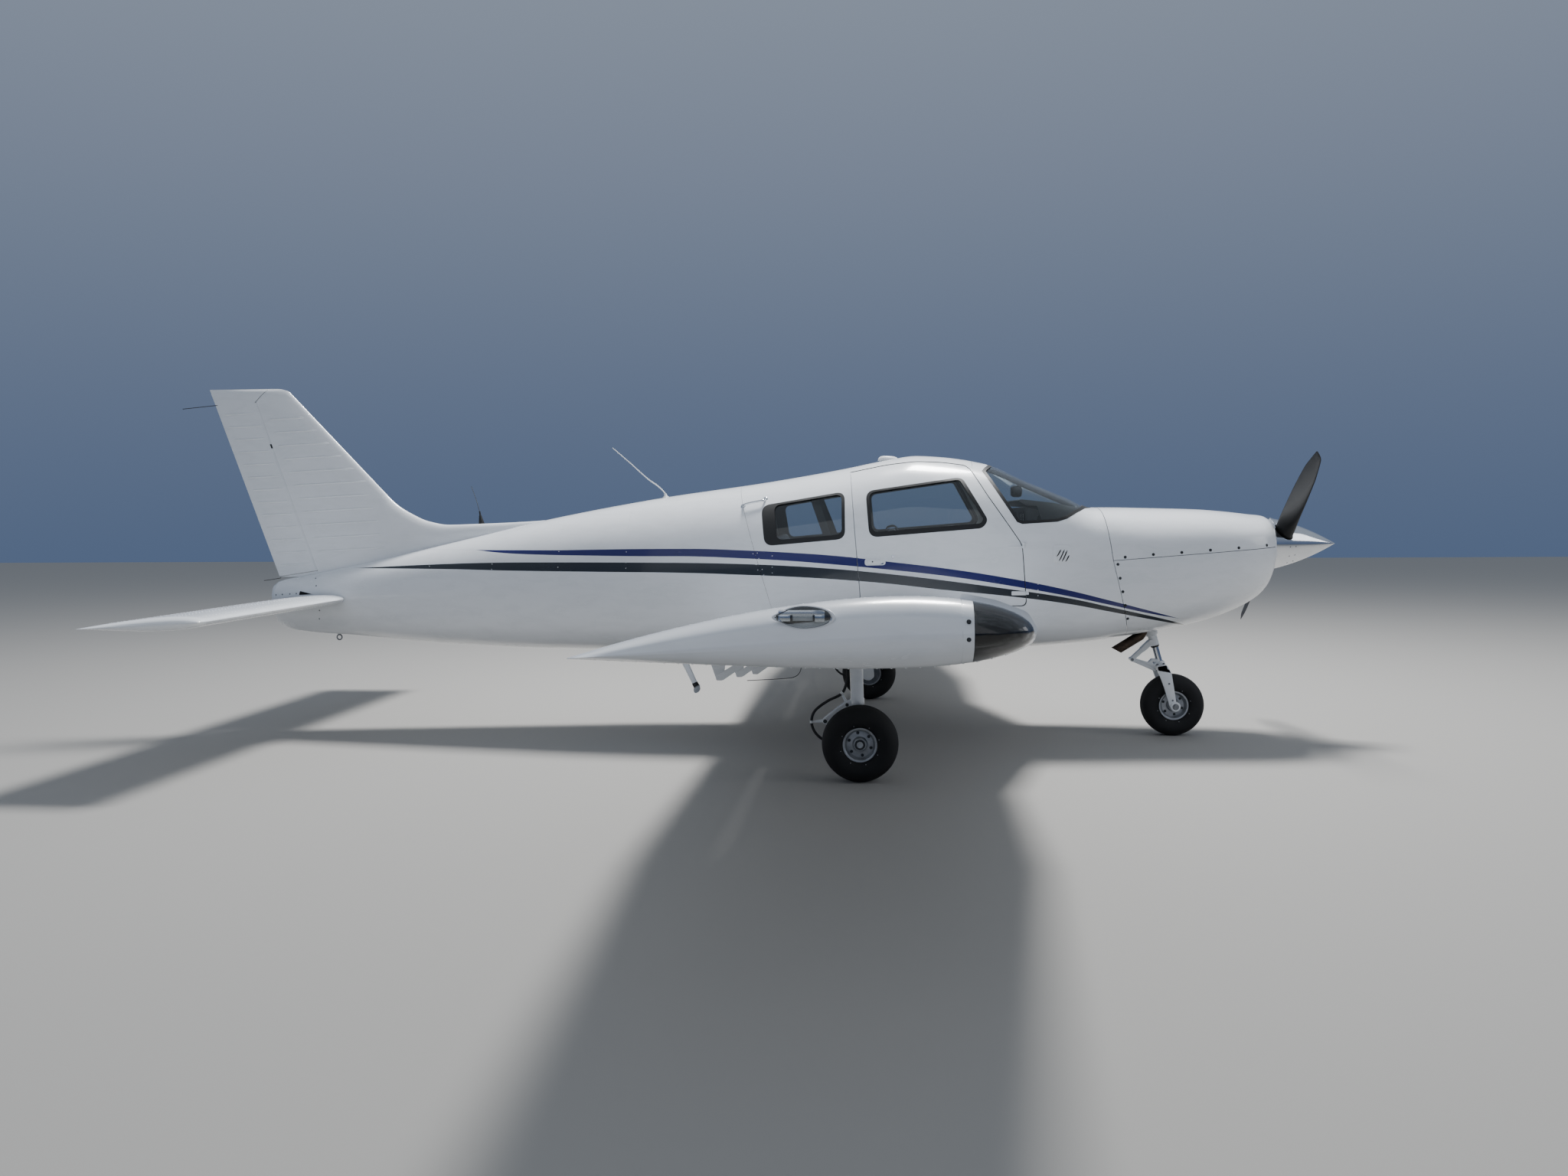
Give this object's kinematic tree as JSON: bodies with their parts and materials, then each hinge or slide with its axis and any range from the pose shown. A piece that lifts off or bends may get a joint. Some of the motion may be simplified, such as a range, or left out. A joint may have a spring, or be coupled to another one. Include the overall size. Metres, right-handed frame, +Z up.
{
  "type": "light aircraft",
  "caption": "Low-wing light training aircraft on fixed tricycle gear, white with a blue and a dark grey stripe, parked with its cabin door shut.",
  "frame": {"origin": "on the ground, under the middle of the aircraft's bounding box", "axes": "+X towards the nose, +Y towards the left wing tip, +Z up"},
  "size_m": [7.334, 10.82, 2.285],
  "materials": {
    "painted_skin": "white gloss paint over aluminium sheet",
    "gear_alloy": "white painted casting",
    "propeller_black": "matt black paint over forged aluminium",
    "spinner_chrome": "polished",
    "engine_iron": "plain",
    "exhaust_steel": "heat stained",
    "cabin_glass": "clear acrylic",
    "lens_glass": "clear moulded lens",
    "black_plastic": "matt",
    "antenna_plastic": "white gloss",
    "tyre_rubber": "worn tread",
    "hose_rubber": "matt",
    "seat_leather": "soft grain",
    "carpet": "short pile"
  },
  "bodies": {
    "airframe": {"fuselage_cabin": "painted_skin", "tail_cone": "painted_skin", "cowl_upper": "painted_skin", "cowl_lower": "painted_skin", "engine_block": "engine_iron", "cabin_floor": "carpet", "instrument_panel": "black_plastic", "seat_front_left": "seat_leather", "seat_front_right": "seat_leather", "seat_rear": "seat_leather", "windshield": "cabin_glass", "window_front_left": "cabin_glass", "window_rear_left": "cabin_glass", "window_rear_right": "cabin_glass", "wing_left": "painted_skin", "wing_right": "painted_skin", "wing_tip_left": "painted_skin", "wing_tip_right": "painted_skin", "landing_lens_left": "lens_glass", "landing_lens_right": "lens_glass", "nav_light_left": "lens_glass", "nav_light_right": "lens_glass", "main_leg_left": "gear_alloy", "main_leg_right": "gear_alloy", "brake_hose_left": "hose_rubber", "brake_hose_right": "hose_rubber", "fin": "painted_skin", "nose_gear_mount": "exhaust_steel", "exhaust_pipe": "exhaust_steel", "boarding_step": "gear_alloy", "grab_handle": "spinner_chrome", "whip_antenna": "antenna_plastic", "locator_antenna": "black_plastic", "pitot_mast": "gear_alloy", "tail_tiedown": "exhaust_steel"},
    "door": {"cabin_door": "painted_skin", "door_window": "cabin_glass"},
    "left_flap": {"flap_left": "painted_skin"},
    "right_flap": {"flap_right": "painted_skin"},
    "left_aileron": {"aileron_left": "painted_skin"},
    "right_aileron": {"aileron_right": "painted_skin"},
    "rudder_body": {"rudder": "painted_skin"},
    "tailplane": {"stabilator": "painted_skin"},
    "tab": {"antiservo_tab": "painted_skin"},
    "propeller_body": {"propeller": "propeller_black", "spinner": "spinner_chrome"},
    "nose_gear": {"nose_strut": "gear_alloy"},
    "nose_wheel_body": {"nose_wheel": "gear_alloy", "nose_tyre": "tyre_rubber"},
    "left_wheel": {"main_wheel_left": "gear_alloy", "main_tyre_left": "tyre_rubber"},
    "right_wheel": {"main_wheel_right": "gear_alloy", "main_tyre_right": "tyre_rubber"}
  },
  "joints": [
    {"name": "door_hinge", "type": "hinge", "parent": "airframe", "child": "door", "pos_m": [1.696, -0.57164, 0.952], "axis": [-0.0849, 0.0202, 0.9962], "range_deg": [0, 75]},
    {"name": "flap_left_hinge", "type": "hinge", "parent": "airframe", "child": "left_flap", "pos_m": [0.09, 1.7, 0.59632], "axis": [0, -0.9941, -0.1083], "range_deg": [0, 40]},
    {"name": "flap_right_hinge", "type": "hinge", "parent": "airframe", "child": "right_flap", "pos_m": [0.09, -1.7, 0.59632], "axis": [0, -0.9941, 0.1083], "range_deg": [0, 40]},
    {"name": "aileron_left_hinge", "type": "hinge", "parent": "airframe", "child": "left_aileron", "pos_m": [0.21479, 3.825, 0.95819], "axis": [0.0712, 0.9915, 0.1088], "range_deg": [-12.5, 25]},
    {"name": "aileron_right_hinge", "type": "hinge", "parent": "airframe", "child": "right_aileron", "pos_m": [0.21479, -3.825, 0.95819], "axis": [-0.0712, 0.9915, -0.1088], "range_deg": [-12.5, 25]},
    {"name": "rudder_hinge", "type": "hinge", "parent": "airframe", "child": "rudder_body", "pos_m": [-2.955, 0, 1.07], "axis": [-0.3278, 0, 0.9447], "range_deg": [-27, 27]},
    {"name": "stabilator_hinge", "type": "hinge", "parent": "airframe", "child": "tailplane", "pos_m": [-2.861, 0, 0.881], "axis": [0, 1, 0], "range_deg": [-2, 14]},
    {"name": "tab_hinge", "type": "hinge", "parent": "tailplane", "child": "tab", "pos_m": [-3.282, 0, 0.85884], "axis": [0, 1, 0], "range_deg": [-3, 12]},
    {"name": "propeller_spin", "type": "hinge", "parent": "airframe", "child": "propeller_body", "pos_m": [3.31, 0, 1.221], "axis": [1, 0, 0], "continuous": true},
    {"name": "nose_steering", "type": "hinge", "parent": "airframe", "child": "nose_gear", "pos_m": [2.458, 0, 0.94], "axis": [-0.2728, 0, 0.9621], "range_deg": [-30, 30]},
    {"name": "nose_wheel_spin", "type": "hinge", "parent": "nose_gear", "child": "nose_wheel_body", "pos_m": [2.672, 0, 0.196], "axis": [0, 1, 0], "continuous": true},
    {"name": "left_wheel_spin", "type": "hinge", "parent": "airframe", "child": "left_wheel", "pos_m": [0.715, 1.525, 0.205], "axis": [0, 1, 0], "continuous": true},
    {"name": "right_wheel_spin", "type": "hinge", "parent": "airframe", "child": "right_wheel", "pos_m": [0.715, -1.525, 0.205], "axis": [0, 1, 0], "continuous": true}
  ],
  "couplings": [
    {"joint": "tab_hinge", "follows": "stabilator_hinge", "ratio": 0.8},
    {"joint": "flap_right_hinge", "follows": "flap_left_hinge", "ratio": 1}
  ]
}
